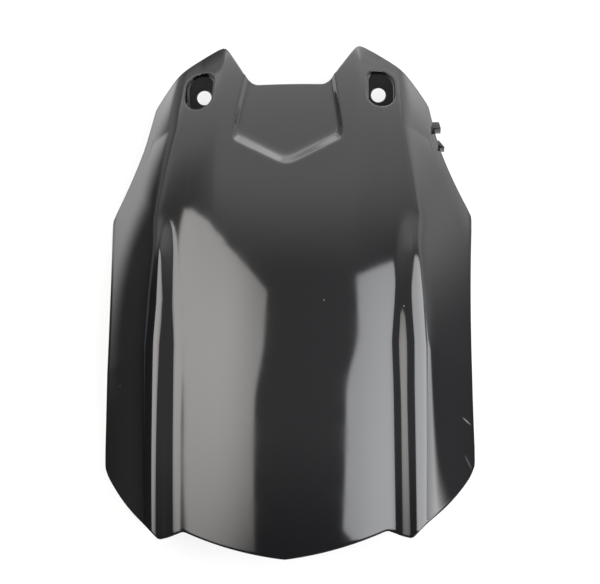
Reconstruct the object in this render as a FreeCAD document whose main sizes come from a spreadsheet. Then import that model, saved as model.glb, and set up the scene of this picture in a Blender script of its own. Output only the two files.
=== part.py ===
import FreeCAD, Part
import math
import os

import Sketcher

# Rear fender of a motorcycle: one black injection moulding that lies on its side edges.
# X runs across the fender, +Y towards the swingarm end, +Z up; the floor is Z = 0.
# The skin is a cavity form less a core form, as the two halves of its mould make it.

doc = FreeCAD.newDocument("rear_fender")

SIZES = (
    ("wall", 2.6, "thickness of the moulding"),
    ("crown_height", 76.0, "top of the crown above the floor"),
    ("crown_radius", 359.0, "arc of the crown along the wheel"),
    ("crown_apex_y", -17.5, "highest place of the crown"),
    ("arch_radius", 188.0, "arc of the skin across the wheel"),
    ("crease_x", 42.0, "creases that run back from the ear tips"),
    ("crease_lift", 1.8, "how much the crease stands above the arch at the ears"),
    ("crease_end_y", 10.0, "where the creases have died out"),
    ("valley_x", 57.0, "inner foot of the shoulder ridges at their start"),
    ("valley_splay", 5.5, "how far the foot moves outwards as the ridge rises"),
    ("ridge_width", 13.5, "corner of the shoulder ridges from their inner foot at their start"),
    ("ridge_splay", 8.1, "how far the corner moves outwards as the ridge rises"),
    ("ridge_height", 9.3, "corner of the full ridge above the arch"),
    ("ridge_start_y", 100.0, "where the ridges begin"),
    ("ridge_full_y", -50.0, "where the ridges have their full height"),
    ("crest_round_rear", 14.0, "rounding of the crest at the rear"),
    ("crest_round_front", 38.0, "rounding of the shoulder at the front"),
    ("side_tilt_front", 55.1, "side panel from the level, at the waist, in degrees"),
    ("side_tilt_rear", 62.2, "side panel from the level, at the lower corner, in degrees"),
    ("end_margin", 12.0, "reach of the skin past both tips before it is trimmed"),
    ("skirt_depth", 14.0, "reach of the skin below the floor before it is trimmed"),
    ("tip_y", -168.8, "rear tip on the centre line"),
    ("tip_bulge", 2.6, "bow of the rear edge between tip and valley"),
    ("valley_end_y", -152.0, "rear edge at the valley"),
    ("ridge_end_y", -156.5, "rear edge at the crest"),
    ("lower_corner_x", 108.8, "rear corner of the side edge, across"),
    ("lower_corner_y", -104.5, "rear corner of the side edge, along"),
    ("lower_bulge", 2.6, "bow of the edge from crest to rear corner"),
    ("waist_x", 112.0, "front corner of the side edge, across"),
    ("waist_y", 57.0, "front corner of the side edge, along"),
    ("side_hollow", 2.4, "hollow of the side edge between its two corners"),
    ("waist_hollow", 5.0, "hollow of the edge in front of the waist"),
    ("upper_corner_x", 87.4, "corner below the ear, across"),
    ("upper_corner_y", 128.0, "corner below the ear, along"),
    ("ear_bulge", 4.2, "bow of the outer edge of the ear"),
    ("ear_tip_y", 170.1, "front tip of the ear before it is rounded"),
    ("notch_mouth_x", 27.8, "foot of the ear at the notch"),
    ("notch_mouth_y", 138.2, "foot of the ear at the notch, along"),
    ("notch_half", 21.0, "half of the level edge between the ears"),
    ("notch_y", 131.6, "level edge between the ears"),
    ("ear_round", 4.0, "rounding of the ear tips"),
    ("corner_round", 9.0, "rounding of the corners of the side edges"),
    ("valley_round", 3.0, "rounding of the small corners of the rear edge"),
    ("tip_round", 20.0, "rounding of the rear tip"),
    ("recess_y", 100.0, "middle of the shield recess"),
    ("recess_tilt", 19.0, "forward lean of the recess, in degrees"),
    ("recess_depth", 5.0, "shield recess below the skin"),
    ("recess_half", 32.8, "half width of the recess at its rear corners"),
    ("recess_front_half", 25.0, "half width of the recess at the front end of its form"),
    ("recess_front", 74.0, "front end of the recess form from its middle"),
    ("recess_corner", 15.7, "rear corners behind the middle of the recess"),
    ("recess_tip", 41.7, "point of the recess behind its middle"),
    ("recess_mouth_drop", 3.0, "mean level of the mouth below the middle of the skin"),
    ("recess_floor_drop", 9.5, "foot of the recess form below the middle of the skin"),
    ("recess_side_ratio", 1.3, "slope of the side walls, run over fall"),
    ("recess_tip_ratio", 1.8, "slope of the rear walls, run over fall"),
    ("bolt_x", 54.8, "screw holes from the centre line"),
    ("bolt_y", 132.9, "screw seats along the fender"),
    ("bolt_drop", 23.0, "screw seats below the crown"),
    ("bolt_tilt", 20.0, "rearward lean of the screws, in degrees"),
    ("bolt_hole", 9.0, "screw hole"),
    ("pocket_width", 17.5, "screw pocket across"),
    ("pocket_shift", 1.6, "middle of the pocket outwards from the screw"),
    ("pocket_rear", 11.4, "rear end of the pocket from the screw"),
    ("pocket_front", 14.2, "front end of the pocket from the screw"),
    ("pocket_round", 5.0, "inner front corner of the pocket"),
    ("pocket_outer_round", 10.0, "outer front corner of the pocket, which follows the edge of the ear"),
    ("clip_y", 107.9, "middle of the hose clip"),
    ("clip_gap", 7.0, "gap between the fingers of the hose clip"),
    ("clip_finger", 6.0, "length of a finger along the edge"),
    ("clip_root", 3.0, "root of the fingers behind the side edge"),
    ("clip_reach", 3.4, "reach of the fingers past the side edge"),
    ("clip_hook", 2.0, "thickness of the hooked finger"),
    ("clip_drop", 45.9, "underside of the fingers below the crown"),
    ("clip_height", 6.0, "height of the fingers"),
)

sizes = doc.addObject("Spreadsheet::Sheet", "Sizes")
for row, (alias, value, note) in enumerate(SIZES, start=1):
    sizes.set(f"A{row}", note)
    sizes.set(f"B{row}", str(value))
    sizes.setAlias(f"B{row}", alias)
doc.recompute()

# Sections across the fender, evenly spaced from the rear to the front of the skin.
# Each row holds the corners of one section: crown, crease, valley, crest and foot.
SECTIONS = 8

CROWN = ("(Sizes.crown_height - Sizes.crown_radius"
         " + sqrt(Sizes.crown_radius^2 - ({y} - Sizes.crown_apex_y)^2))")
ARCH_DROP = "(Sizes.arch_radius - sqrt(Sizes.arch_radius^2 - {x}^2))"

RIDGE_END = ("ridge_end_x", "Sizes.valley_x + Sizes.ridge_width")

STATION_ROWS = (
    ("along", "Sizes.tip_y - Sizes.end_margin"
              " + {i} * (Sizes.ear_tip_y - Sizes.tip_y + 2 * Sizes.end_margin) / {last}"),
    ("top", CROWN.format(y="along_{i}")),
    ("crease_share", "max(0; min(1; (along_{i} - Sizes.crease_end_y)"
                     " / (Sizes.ear_tip_y - Sizes.crease_end_y)))"),
    ("ridge_share", "max(0; min(1; (Sizes.ridge_start_y - along_{i})"
                    " / (Sizes.ridge_start_y - Sizes.ridge_full_y)))"),
    ("front_share", "max(0; min(1; (along_{i} - Sizes.crown_apex_y)"
                    " / (Sizes.recess_y - Sizes.crown_apex_y)))"),
    ("crease_x", "Sizes.crease_x"),
    ("valley_x", "Sizes.valley_x + Sizes.valley_splay * ridge_share_{i}"),
    ("crest_x", "ridge_end_x + Sizes.ridge_splay * ridge_share_{i}"),
    ("crease_z", "top_{i} - " + ARCH_DROP.format(x="crease_x_{i}")
                 + " + Sizes.crease_lift * crease_share_{i}"),
    ("valley_z", "top_{i} - " + ARCH_DROP.format(x="valley_x_{i}")),
    ("crest_z", "top_{i} - " + ARCH_DROP.format(x="crest_x_{i}")
                + " + Sizes.ridge_height * ridge_share_{i}"),
    ("crown_angle", "2 * atan((top_{i} - crease_z_{i}) / crease_x_{i})"),
    ("flank_angle", "atan((crease_z_{i} - valley_z_{i}) / (valley_x_{i} - crease_x_{i}))"),
    ("ridge_angle", "atan((valley_z_{i} - crest_z_{i}) / (crest_x_{i} - valley_x_{i}))"),
    ("panel_angle", "(Sizes.side_tilt_front + (Sizes.side_tilt_rear - Sizes.side_tilt_front)"
                    " * (Sizes.waist_y - along_{i}) / (Sizes.waist_y - Sizes.lower_corner_y)) * 1 deg"),
    ("rounding", "Sizes.crest_round_rear"
                 " + (Sizes.crest_round_front - Sizes.crest_round_rear) * front_share_{i}"),
)

def inset_corner(i, corner, before, after, inset):
    """Move a section corner inwards, square to the two stretches that meet there."""
    mean = f"(({before}_{i} + {after}_{i}) / 2)"
    half = f"(({after}_{i} - {before}_{i}) / 2)"
    reach = f"{inset} / cos({half})"
    return (f"{corner}_x_{i} - {reach} * sin({mean})",
            f"{corner}_z_{i} - {reach} * cos({mean})")


FORMS = (("cavity", "0"), ("core", "Sizes.wall"))
CORNERS = (("crease", "crown_angle", "flank_angle"),
           ("valley", "flank_angle", "ridge_angle"),
           ("crest", "ridge_angle", "panel_angle"))


def form_cells(i, form, inset):
    """Give the named formulas of one section of a form that lies inset under the skin."""
    cells = [(f"{form}_top_z_{i}", f"top_{i} - {inset}")]
    for corner, before, after in CORNERS:
        across, up = inset_corner(i, corner, before, after, inset)
        cells.append((f"{form}_{corner}_x_{i}", across))
        cells.append((f"{form}_{corner}_z_{i}", up))
    fall = f"({form}_crest_z_{i} - {form}_foot_z_{i})"
    sagitta = f"({form}_top_z_{i} - {form}_crease_z_{i})"
    cells.append((f"{form}_foot_z_{i}", f"min(0; crest_z_{i}) - Sizes.skirt_depth"))
    cells.append((f"{form}_foot_x_{i}", f"{form}_crest_x_{i} + {fall} / tan(panel_angle_{i})"))
    cells.append((f"{form}_rounding_{i}", f"rounding_{i} - {inset}"))
    cells.append((f"{form}_crown_r_{i}", f"({form}_crease_x_{i}^2 + {sagitta}^2) / (2 * {sagitta})"))
    return cells


station_cells = [RIDGE_END]
for i in range(SECTIONS):
    for name, formula in STATION_ROWS:
        station_cells.append((f"{name}_{i}", formula.format(i=i, last=SECTIONS - 1)))
    for form, inset in FORMS:
        station_cells.extend(form_cells(i, form, inset))

stations = doc.addObject("Spreadsheet::Sheet", "Stations")
for row, (alias, formula) in enumerate(station_cells, start=1):
    stations.set(f"A{row}", alias)
    stations.set(f"B{row}", "=" + formula)
    stations.setAlias(f"B{row}", alias)
doc.recompute()

gauge = doc.addObject("Spreadsheet::Sheet", "Gauge")


def value(formula):
    """Give the number that a formula has now, worked out in a spare cell."""
    gauge.set("A1", "=" + formula)
    gauge.recompute()
    return float(gauge.get("A1"))


def point(across, up):
    """Give the place in a sketch that two formulas have now."""
    return FreeCAD.Vector(value(across), value(up), 0)


def new_body(name):
    """Add an empty body."""
    return doc.addObject("PartDesign::Body", name)


def new_sketch(body, name, role):
    """Add a sketch on one of the body's own planes."""
    sketch = body.newObject("Sketcher::SketchObject", name)
    plane = next(feature for feature in body.Origin.OriginFeatures if feature.Role == role)
    sketch.AttachmentSupport = [(plane, "")]
    sketch.MapMode = "FlatFace"
    return sketch


def bind(sketch, constraint, formula):
    """Add a sized constraint that follows a formula."""
    index = sketch.addConstraint(Sketcher.Constraint(*constraint, value(formula)))
    sketch.setExpression(f"Constraints[{index}]", formula)


def pin(sketch, geometry, end, across, up):
    """Hold one point of a sketch at a place given by two formulas."""
    bind(sketch, ("DistanceX", -1, 1, geometry, end), across)
    bind(sketch, ("DistanceY", -1, 1, geometry, end), up)


def join(sketch, first, first_end, second, second_end):
    """Make two ends meet."""
    sketch.addConstraint(Sketcher.Constraint("Coincident", first, first_end, second, second_end))


def arc_through(start, bulge, end):
    """Give the arc from start to end that passes bulge to the left of its chord."""
    chord = end - start
    left = FreeCAD.Vector(-chord.y, chord.x, 0).normalize()
    return Part.Arc(start, (start + end) / 2 + left * bulge, end)


def section_sketch(body, form, i):
    """Draw one section of a form: crown arc, flanks, ridges, rounded crests and side panels."""
    sketch = new_sketch(body, f"{form}_section_{i}", "XZ_Plane")
    sketch.setExpression("AttachmentOffset.Base.z", f"-Stations.along_{i}")

    def corner(name, side):
        sign = "" if side > 0 else "-"
        return f"{sign}Stations.{form}_{name}_x_{i}", f"Stations.{form}_{name}_z_{i}"

    crown_top = FreeCAD.Vector(0, value(f"Stations.{form}_top_z_{i}"), 0)
    crown = sketch.addGeometry(Part.Arc(point(*corner("crease", 1)), crown_top,
                                        point(*corner("crease", -1))))
    bind(sketch, ("Radius", crown), f"Stations.{form}_crown_r_{i}")
    feet = []
    for side in (1, -1):
        crease, valley, crest, foot = (corner(name, side)
                                       for name in ("crease", "valley", "crest", "foot"))
        radius = value(f"Stations.{form}_rounding_{i}")
        corner_place = point(*crest)
        inner = (point(*valley) - corner_place).normalize()
        outer = (point(*foot) - corner_place).normalize()
        half_opening = inner.getAngle(outer) / 2
        reach = radius / math.tan(half_opening)
        inner_end = corner_place + inner * reach
        outer_end = corner_place + outer * reach
        bisector = (inner + outer).normalize()
        to_centre = (reach ** 2 + radius ** 2) ** 0.5
        mid = corner_place + bisector * (to_centre - radius)
        flank = sketch.addGeometry(Part.LineSegment(point(*crease), point(*valley)))
        ridge = sketch.addGeometry(Part.LineSegment(point(*valley), inner_end))
        bend = sketch.addGeometry(Part.Arc(outer_end, mid, inner_end) if side > 0
                                  else Part.Arc(inner_end, mid, outer_end))
        panel = sketch.addGeometry(Part.LineSegment(outer_end, point(*foot)))
        corner_point = sketch.addGeometry(Part.Point(corner_place), True)
        join(sketch, crown, 1 if side > 0 else 2, flank, 1)
        pin(sketch, flank, 1, *crease)
        join(sketch, flank, 2, ridge, 1)
        pin(sketch, ridge, 1, *valley)
        pin(sketch, corner_point, 1, *crest)
        sketch.addConstraint(Sketcher.Constraint("PointOnObject", corner_point, 1, ridge))
        sketch.addConstraint(Sketcher.Constraint("PointOnObject", corner_point, 1, panel))
        inner_pos, outer_pos = (2, 1) if side > 0 else (1, 2)
        sketch.addConstraint(Sketcher.Constraint("Tangent", ridge, 2, bend, inner_pos))
        sketch.addConstraint(Sketcher.Constraint("Tangent", bend, outer_pos, panel, 1))
        bind(sketch, ("Radius", bend), f"Stations.{form}_rounding_{i}")
        pin(sketch, panel, 2, *foot)
        feet.append((panel, point(*foot)))
    base = sketch.addGeometry(Part.LineSegment(feet[0][1], feet[1][1]))
    join(sketch, feet[0][0], 2, base, 1)
    join(sketch, feet[1][0], 2, base, 2)
    return sketch


def lofted_form(form):
    """Loft the sections of one form into a solid."""
    body = new_body(f"{form}_form")
    drawn = [section_sketch(body, form, i) for i in range(SECTIONS)]
    doc.recompute()
    loft = body.newObject("PartDesign::AdditiveLoft", f"{form}_loft")
    loft.Profile = drawn[0]
    loft.Sections = drawn[1:]
    loft.Ruled = False
    doc.recompute()
    return body


cavity_form = lofted_form("cavity")
core_form = lofted_form("core")

# Plan outline of the moulding, from the rear tip round the right side to the notch.
# A prism of that outline, standing on the floor, trims the skin all round.
OUTLINE = (
    ("Sizes.valley_x", "Sizes.valley_end_y", "-Sizes.tip_bulge"),
    ("Stations.ridge_end_x", "Sizes.ridge_end_y", ""),
    ("Sizes.lower_corner_x", "Sizes.lower_corner_y", "-Sizes.lower_bulge"),
    ("Sizes.waist_x", "Sizes.waist_y", "Sizes.side_hollow"),
    ("Sizes.upper_corner_x", "Sizes.upper_corner_y", "Sizes.waist_hollow"),
    ("Sizes.crease_x", "Sizes.ear_tip_y", "-Sizes.ear_bulge"),
    ("Sizes.notch_mouth_x", "Sizes.notch_mouth_y", ""),
    ("Sizes.notch_half", "Sizes.notch_y", ""),
)


def outline_sketch(body):
    """Draw the closed outline, its two sides mirrored about the centre line."""
    sketch = new_sketch(body, "outline", "XY_Plane")
    tip = ("0", "Sizes.tip_y")
    ends = []
    for side in (1, -1):
        sign = "" if side > 0 else "-"
        start = tip
        last = None
        for across, along, bulge in OUTLINE:
            end = (sign + across, along)
            if bulge:
                bow = value(bulge) * side
                geometry = sketch.addGeometry(arc_through(point(*start), bow, point(*end)))
                turned = bow > 0
                chord = (f"sqrt(({end[0]} - {start[0]})^2 + ({end[1]} - {start[1]})^2)"
                         .replace("- -", "+ "))
                bind(sketch, ("Radius", geometry),
                     f"(({chord} / 2)^2 + ({bulge})^2) / (2 * abs({bulge}))")
            else:
                geometry = sketch.addGeometry(Part.LineSegment(point(*start), point(*end)))
                turned = False
            begin_pos, end_pos = (2, 1) if turned else (1, 2)
            if last:
                join(sketch, *last, geometry, begin_pos)
            else:
                ends.append((geometry, begin_pos))
            pin(sketch, geometry, end_pos, *end)
            last = (geometry, end_pos)
            start = end
        ends.append(last)
    join(sketch, *ends[0], *ends[2])
    sketch.addConstraint(Sketcher.Constraint("PointOnObject", *ends[0], -2))
    bind(sketch, ("DistanceY", -1, 1, *ends[0]), "Sizes.tip_y")
    notch = sketch.addGeometry(Part.LineSegment(point("Sizes.notch_half", "Sizes.notch_y"),
                                                point("-Sizes.notch_half", "Sizes.notch_y")))
    join(sketch, *ends[1], notch, 1)
    join(sketch, *ends[3], notch, 2)
    return sketch


outline_form = new_body("outline_form")
outline = outline_sketch(outline_form)
doc.recompute()
outline_prism = outline_form.newObject("PartDesign::Pad", "outline_prism")
outline_prism.Profile = outline
outline_prism.setExpression("Length", "Sizes.crown_height + Sizes.skirt_depth")
doc.recompute()


def upright_edges(shape, corners):
    """Name the edges that stand straight up at the given corners, on both sides."""
    near = 0.05
    names = []
    for number, edge in enumerate(shape.Edges, start=1):
        first, last = edge.Vertexes[0].Point, edge.Vertexes[-1].Point
        upright = abs(first.x - last.x) + abs(first.y - last.y) < near < abs(first.z - last.z)
        at_corner = any(abs(abs(first.x) - x) + abs(first.y - y) < near for x, y in corners)
        if upright and at_corner:
            names.append(f"Edge{number}")
    return names


def round_corners(body, name, corners, radius):
    """Round the upright edges of a body at the given corners."""
    base = body.Tip
    places = [(abs(value(x)), value(y)) for x, y in corners]
    fillet = body.newObject("PartDesign::Fillet", name)
    fillet.Base = (base, upright_edges(base.Shape, places))
    fillet.setExpression("Radius", radius)
    doc.recompute()


round_corners(outline_form, "side_corners",
              (("Sizes.lower_corner_x", "Sizes.lower_corner_y"), ("Sizes.waist_x", "Sizes.waist_y"),
               ("Sizes.upper_corner_x", "Sizes.upper_corner_y")), "Sizes.corner_round")
round_corners(outline_form, "ear_tips", (("Sizes.crease_x", "Sizes.ear_tip_y"),), "Sizes.ear_round")
round_corners(outline_form, "rear_corners",
              (("Sizes.valley_x", "Sizes.valley_end_y"), ("Stations.ridge_end_x", "Sizes.ridge_end_y"),
               ("Sizes.notch_half", "Sizes.notch_y")), "Sizes.valley_round")
round_corners(outline_form, "rear_tip", (("0", "Sizes.tip_y"),), "Sizes.tip_round")


# Shield-shaped recess behind the notch. Its floor runs parallel to the skin and its walls slope.
def polygon_sketch(body, name, level, corners):
    """Draw a closed polygon, level above the body's own XY plane."""
    sketch = new_sketch(body, name, "XY_Plane")
    sketch.setExpression("AttachmentOffset.Base.z", level)
    lines = []
    for start, end in zip(corners, corners[1:] + corners[:1]):
        lines.append(sketch.addGeometry(Part.LineSegment(point(*start), point(*end))))
    for line, after, corner in zip(lines, lines[1:] + lines[:1], corners):
        join(sketch, line, 2, after, 1)
        bind(sketch, ("DistanceY", -1, 1, line, 1), corner[1])
        if corner[0] == "0":
            sketch.addConstraint(Sketcher.Constraint("PointOnObject", line, 1, -2))
        else:
            bind(sketch, ("DistanceX", -1, 1, line, 1), corner[0])
    return sketch


def lean(body, across, along, up, axis, angle):
    """Place a body on the fender, leaning about an axis by an angle."""
    body.Placement = FreeCAD.Placement(FreeCAD.Vector(), FreeCAD.Rotation(axis, value(angle)))
    for part, formula in (("x", across), ("y", along), ("z", up)):
        body.setExpression(f"Placement.Base.{part}", formula)
    body.setExpression("Placement.Rotation.Angle", angle + " * 1 deg")


def shield(fall, wall):
    """Corners of the shield, fall below its mouth and grown outwards by a wall."""
    rear_lean = "((Sizes.recess_tip - Sizes.recess_corner) / Sizes.recess_half)"
    side = f"({wall} * sqrt(1 + Sizes.recess_side_ratio^2) - Sizes.recess_side_ratio * ({fall}))"
    rear = f"({wall} * sqrt(1 + Sizes.recess_tip_ratio^2) - Sizes.recess_tip_ratio * ({fall}))"
    half = f"(Sizes.recess_half + {side})"
    front_half = f"(Sizes.recess_front_half + {side})"
    tip = f"(-Sizes.recess_tip - {rear} * sqrt(1 + {rear_lean}^2))"
    corner = f"({tip} + {half} * {rear_lean})"
    return [("0", tip), (half, corner), (front_half, "Sizes.recess_front"),
            ("-" + front_half, "Sizes.recess_front"), ("-" + half, corner)]


def recess_form(name, wall):
    """Make the form of the recess, grown by a wall, down to a floor parallel to the skin."""
    body = new_body(f"{name}_walls")
    lean(body, "0", "Sizes.recess_y", CROWN.format(y="Sizes.recess_y"),
         FreeCAD.Vector(-1, 0, 0), "Sizes.recess_tilt")
    foot_level = f"-Sizes.recess_floor_drop - {wall}"
    fall = f"Sizes.recess_floor_drop + {wall} - Sizes.recess_mouth_drop"
    foot = polygon_sketch(body, f"{name}_foot", foot_level, shield(fall, wall))
    mouth = polygon_sketch(body, f"{name}_mouth", "-Sizes.recess_mouth_drop", shield("0", wall))
    doc.recompute()
    walls = body.newObject("PartDesign::AdditiveLoft", f"{name}_slopes")
    walls.Profile = foot
    walls.Sections = [mouth]
    walls.Ruled = True
    doc.recompute()
    above = body.newObject("PartDesign::Pad", f"{name}_above")
    above.Profile = mouth
    above.setExpression("Length", "Sizes.recess_floor_drop")
    doc.recompute()
    drum = new_body(f"{name}_drum")
    sketch = new_sketch(drum, f"{name}_drum_profile", "XZ_Plane")
    sketch.setExpression("AttachmentOffset.Base.y", "Sizes.crown_height - Sizes.crown_radius")
    sketch.setExpression("AttachmentOffset.Base.z", "-Sizes.crown_apex_y")
    inset = f"(Sizes.recess_depth + {wall})"
    half = "Stations.ridge_end_x"
    arch = f"(Sizes.arch_radius - {inset})"
    edge_up = f"(Sizes.crown_radius - Sizes.arch_radius + sqrt({arch}^2 - {half}^2))"
    top = FreeCAD.Vector(0, value(f"Sizes.crown_radius - {inset}"), 0)
    right, left = point(half, edge_up), point("-" + half, edge_up)
    arc = sketch.addGeometry(Part.Arc(right, top, left))
    corners = [left, FreeCAD.Vector(left.x, 0, 0), FreeCAD.Vector(right.x, 0, 0), right]
    sides = [sketch.addGeometry(Part.LineSegment(a, b)) for a, b in zip(corners, corners[1:])]
    join(sketch, arc, 2, sides[0], 1)
    join(sketch, sides[0], 2, sides[1], 1)
    join(sketch, sides[1], 2, sides[2], 1)
    join(sketch, sides[2], 2, arc, 1)
    bind(sketch, ("Radius", arc), arch)
    pin(sketch, arc, 1, half, edge_up)
    pin(sketch, arc, 2, "-" + half, edge_up)
    for line, end, across in ((sides[0], 2, "-" + half), (sides[1], 2, half)):
        bind(sketch, ("DistanceX", -1, 1, line, end), across)
        sketch.addConstraint(Sketcher.Constraint("PointOnObject", line, end, -1))
    doc.recompute()
    turn = drum.newObject("PartDesign::Revolution", f"{name}_floor")
    turn.Profile = sketch
    turn.ReferenceAxis = (sketch, ["H_Axis"])
    turn.Angle = 90  # a quarter drum reaches past both ends of the recess
    turn.Midplane = True
    doc.recompute()
    cut = doc.addObject("Part::Cut", name)
    cut.Base = body
    cut.Tool = drum
    doc.recompute()
    return cut


recess = recess_form("recess", "0")
recess_cup = recess_form("recess_cup", "Sizes.wall")


# Screw pockets in the ears, round at the rear, with their seats square to the leaning screws.
def pocket_form(name, wall):
    """Make the form of the right-hand screw pocket, grown by a wall."""
    body = new_body(name)
    lean(body, "Sizes.bolt_x", "Sizes.bolt_y", CROWN.format(y="Sizes.bolt_y") + " - Sizes.bolt_drop",
         FreeCAD.Vector(1, 0, 0), "Sizes.bolt_tilt")
    sketch = new_sketch(body, f"{name}_outline", "XY_Plane")
    sketch.setExpression("AttachmentOffset.Base.z", f"-{wall}")
    half = f"(Sizes.pocket_width / 2 + {wall})"
    outer, inner = f"(Sizes.pocket_shift + {half})", f"(Sizes.pocket_shift - {half})"
    front = f"(Sizes.pocket_front + {wall})"
    spring = "(Sizes.pocket_width / 2 - Sizes.pocket_rear)"
    rear = point("Sizes.pocket_shift", f"{spring} - {half}")
    left, right = point(inner, spring), point(outer, spring)
    front_left, front_right = point(inner, front), point(outer, front)
    bend = sketch.addGeometry(Part.Arc(left, rear, right))
    right_side = sketch.addGeometry(Part.LineSegment(right, front_right))
    front_side = sketch.addGeometry(Part.LineSegment(front_right, front_left))
    left_side = sketch.addGeometry(Part.LineSegment(front_left, left))
    join(sketch, bend, 2, right_side, 1)
    join(sketch, right_side, 2, front_side, 1)
    join(sketch, front_side, 2, left_side, 1)
    join(sketch, left_side, 2, bend, 1)
    bind(sketch, ("DistanceY", -1, 1, bend, 3), spring)
    pin(sketch, right_side, 1, outer, spring)
    pin(sketch, left_side, 2, inner, spring)
    pin(sketch, right_side, 2, outer, front)
    pin(sketch, left_side, 1, inner, front)
    doc.recompute()
    well = body.newObject("PartDesign::Pad", f"{name}_well")
    well.Profile = sketch
    well.setExpression("Length", f"Sizes.crown_height + {wall}")
    doc.recompute()
    round_corners(body, f"{name}_outer_corner", ((outer, front),), f"Sizes.pocket_outer_round + {wall}")
    round_corners(body, f"{name}_inner_corner", ((inner, front),), f"Sizes.pocket_round + {wall}")
    return body


pocket = pocket_form("pocket", "0")
hole_circle = new_sketch(pocket, "hole_circle", "XY_Plane")
ring = hole_circle.addGeometry(
    Part.Circle(FreeCAD.Vector(), FreeCAD.Vector(0, 0, 1), value("Sizes.bolt_hole / 2")))
join(hole_circle, ring, 3, -1, 1)
bind(hole_circle, ("Diameter", ring), "Sizes.bolt_hole")
doc.recompute()
hole = pocket.newObject("PartDesign::Pad", "hole")
hole.Profile = hole_circle
hole.setExpression("Length", "Sizes.bolt_hole")
hole.Reversed = True
doc.recompute()
pocket_cup = pocket_form("pocket_cup", "Sizes.wall")


def mirrored(source):
    """Repeat a form on the other side of the centre line."""
    copy = doc.addObject("Part::Mirroring", f"{source.Name}_left")
    copy.Source = source
    copy.Base = FreeCAD.Vector()
    copy.Normal = FreeCAD.Vector(1, 0, 0)
    return copy


def fused(name, shapes):
    """Join forms into one."""
    joined = doc.addObject("Part::MultiFuse", name)
    joined.Shapes = shapes
    return joined


def less(name, base, tool):
    """Take one form out of another."""
    cut = doc.addObject("Part::Cut", name)
    cut.Base = base
    cut.Tool = tool
    return cut


trimmed = doc.addObject("Part::Common", "trimmed")
trimmed.Base = cavity_form
trimmed.Tool = outline_form
hollows = fused("hollows", [recess, pocket, mirrored(pocket)])
cups = fused("cups", [recess_cup, pocket_cup, mirrored(pocket_cup)])
cavity = less("cavity", trimmed, hollows)
core = less("core", core_form, cups)
shell = less("shell", cavity, core)
doc.recompute()


# Hose clip on the right-hand edge: a blunt finger in front and a thin hooked one behind it.
def clip_finger(name, corners):
    """Make one finger of the clip from its plan outline."""
    body = new_body(name)
    level = CROWN.format(y="Sizes.clip_y") + " - Sizes.clip_drop"
    sketch = polygon_sketch(body, f"{name}_plan", level, corners)
    doc.recompute()
    finger = body.newObject("PartDesign::Pad", f"{name}_block")
    finger.Profile = sketch
    finger.setExpression("Length", "Sizes.clip_height")
    doc.recompute()
    return body


CLIP_SHARE = "((Sizes.clip_y - Sizes.waist_y) / (Sizes.upper_corner_y - Sizes.waist_y))"
EDGE = (f"(Sizes.waist_x + (Sizes.upper_corner_x - Sizes.waist_x) * {CLIP_SHARE}"
        f" - 4 * Sizes.waist_hollow * {CLIP_SHARE} * (1 - {CLIP_SHARE}))")
ROOT = f"{EDGE} - Sizes.clip_root"
REACH = f"{EDGE} + Sizes.clip_reach"
FRONT_NEAR = "Sizes.clip_y + Sizes.clip_gap / 2"
FRONT_FAR = f"{FRONT_NEAR} + Sizes.clip_finger"
REAR_NEAR = "Sizes.clip_y - Sizes.clip_gap / 2"
REAR_BACK = f"{REAR_NEAR} - Sizes.clip_hook"
REAR_FAR = f"{REAR_NEAR} - Sizes.clip_finger"

blunt_finger = clip_finger("blunt_finger", [
    (ROOT, FRONT_NEAR), (REACH, FRONT_NEAR),
    (f"{REACH} - Sizes.clip_hook / 2", FRONT_FAR), (ROOT, FRONT_FAR)])
hooked_finger = clip_finger("hooked_finger", [
    (ROOT, REAR_BACK), (ROOT, REAR_NEAR), (f"{EDGE} + Sizes.clip_hook", REAR_NEAR),
    (f"{REACH} + Sizes.clip_hook", REAR_FAR), (REACH, REAR_FAR), (EDGE, REAR_BACK)])

rear_fender = fused("rear_fender", [shell, blunt_finger, hooked_finger])
rear_fender.Label = "rear_fender"
doc.recompute()

failed = [item.Name for item in doc.Objects if "Invalid" in item.State or "Error" in item.State]
if failed:
    raise RuntimeError(f"these objects did not build: {failed}")
moulding = rear_fender.Shape
if moulding.isNull() or not moulding.isValid() or len(moulding.Solids) != 1:
    raise RuntimeError("the fender is not one sound solid")

os.makedirs("parts", exist_ok=True)
moulding.exportStep(f"parts/{rear_fender.Label}.step")
print(f"{rear_fender.Label}: {moulding.Volume / 1000:.1f} cm3, {len(moulding.Faces)} faces")
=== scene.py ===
import math

import bmesh
import bpy
import numpy as np
from mathutils import Matrix, Vector
from mathutils.bvhtree import BVHTree
from mathutils.geometry import delaunay_2d_cdt


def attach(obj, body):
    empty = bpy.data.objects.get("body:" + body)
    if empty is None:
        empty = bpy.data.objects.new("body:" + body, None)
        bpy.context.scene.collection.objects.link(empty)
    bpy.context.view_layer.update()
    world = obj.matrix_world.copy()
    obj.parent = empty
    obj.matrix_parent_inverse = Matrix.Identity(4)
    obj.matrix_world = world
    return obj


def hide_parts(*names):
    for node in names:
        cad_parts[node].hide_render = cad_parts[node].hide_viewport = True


# Rear fender of a motorcycle, lying on its side edges on a white table.
# X runs across the fender, +Y towards its ears, +Z up. Lengths are in millimetres until a mesh is made.

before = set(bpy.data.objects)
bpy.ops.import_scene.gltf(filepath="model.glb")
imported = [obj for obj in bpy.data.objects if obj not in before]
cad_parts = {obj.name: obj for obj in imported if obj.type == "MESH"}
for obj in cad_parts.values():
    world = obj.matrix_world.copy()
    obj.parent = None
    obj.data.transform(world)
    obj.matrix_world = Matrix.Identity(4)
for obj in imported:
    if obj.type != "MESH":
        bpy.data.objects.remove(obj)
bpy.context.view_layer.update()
MM = 0.001

# Black moulding
# Glossy black ABS with the colour in the plastic, so there is no lacquer edge to see.
# It has a faint ripple from the mould, and a few specks and pale scuffs from handling.


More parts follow.
